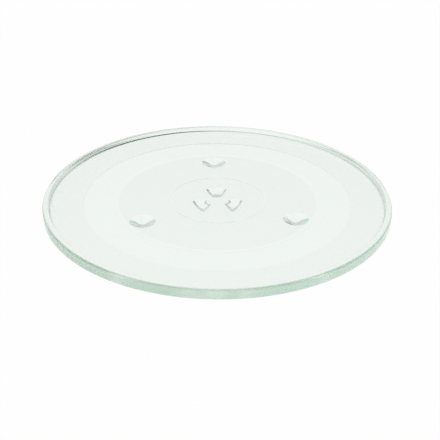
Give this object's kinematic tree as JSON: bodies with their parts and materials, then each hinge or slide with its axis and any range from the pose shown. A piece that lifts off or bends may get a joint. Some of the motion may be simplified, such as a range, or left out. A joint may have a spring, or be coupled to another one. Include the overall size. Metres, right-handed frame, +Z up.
{
  "type": "microwave turntable plate",
  "caption": "Round pressed-glass turntable plate with a raised rim, and with drive lugs and low feet under its floor, for a microwave oven.",
  "frame": {"origin": "on the plate's axis, in the plane that its feet stand on", "axes": "+Z up along the plate's axis; +Y towards the first foot and the first drive lug"},
  "size_m": [0.288, 0.288, 0.013],
  "materials": {
    "pressed_glass": "clear pressed glass with a faint green tint, finely stippled underneath beside a smooth track"
  },
  "bodies": {
    "root": {"glass_plate": "pressed_glass"}
  },
  "joints": []
}
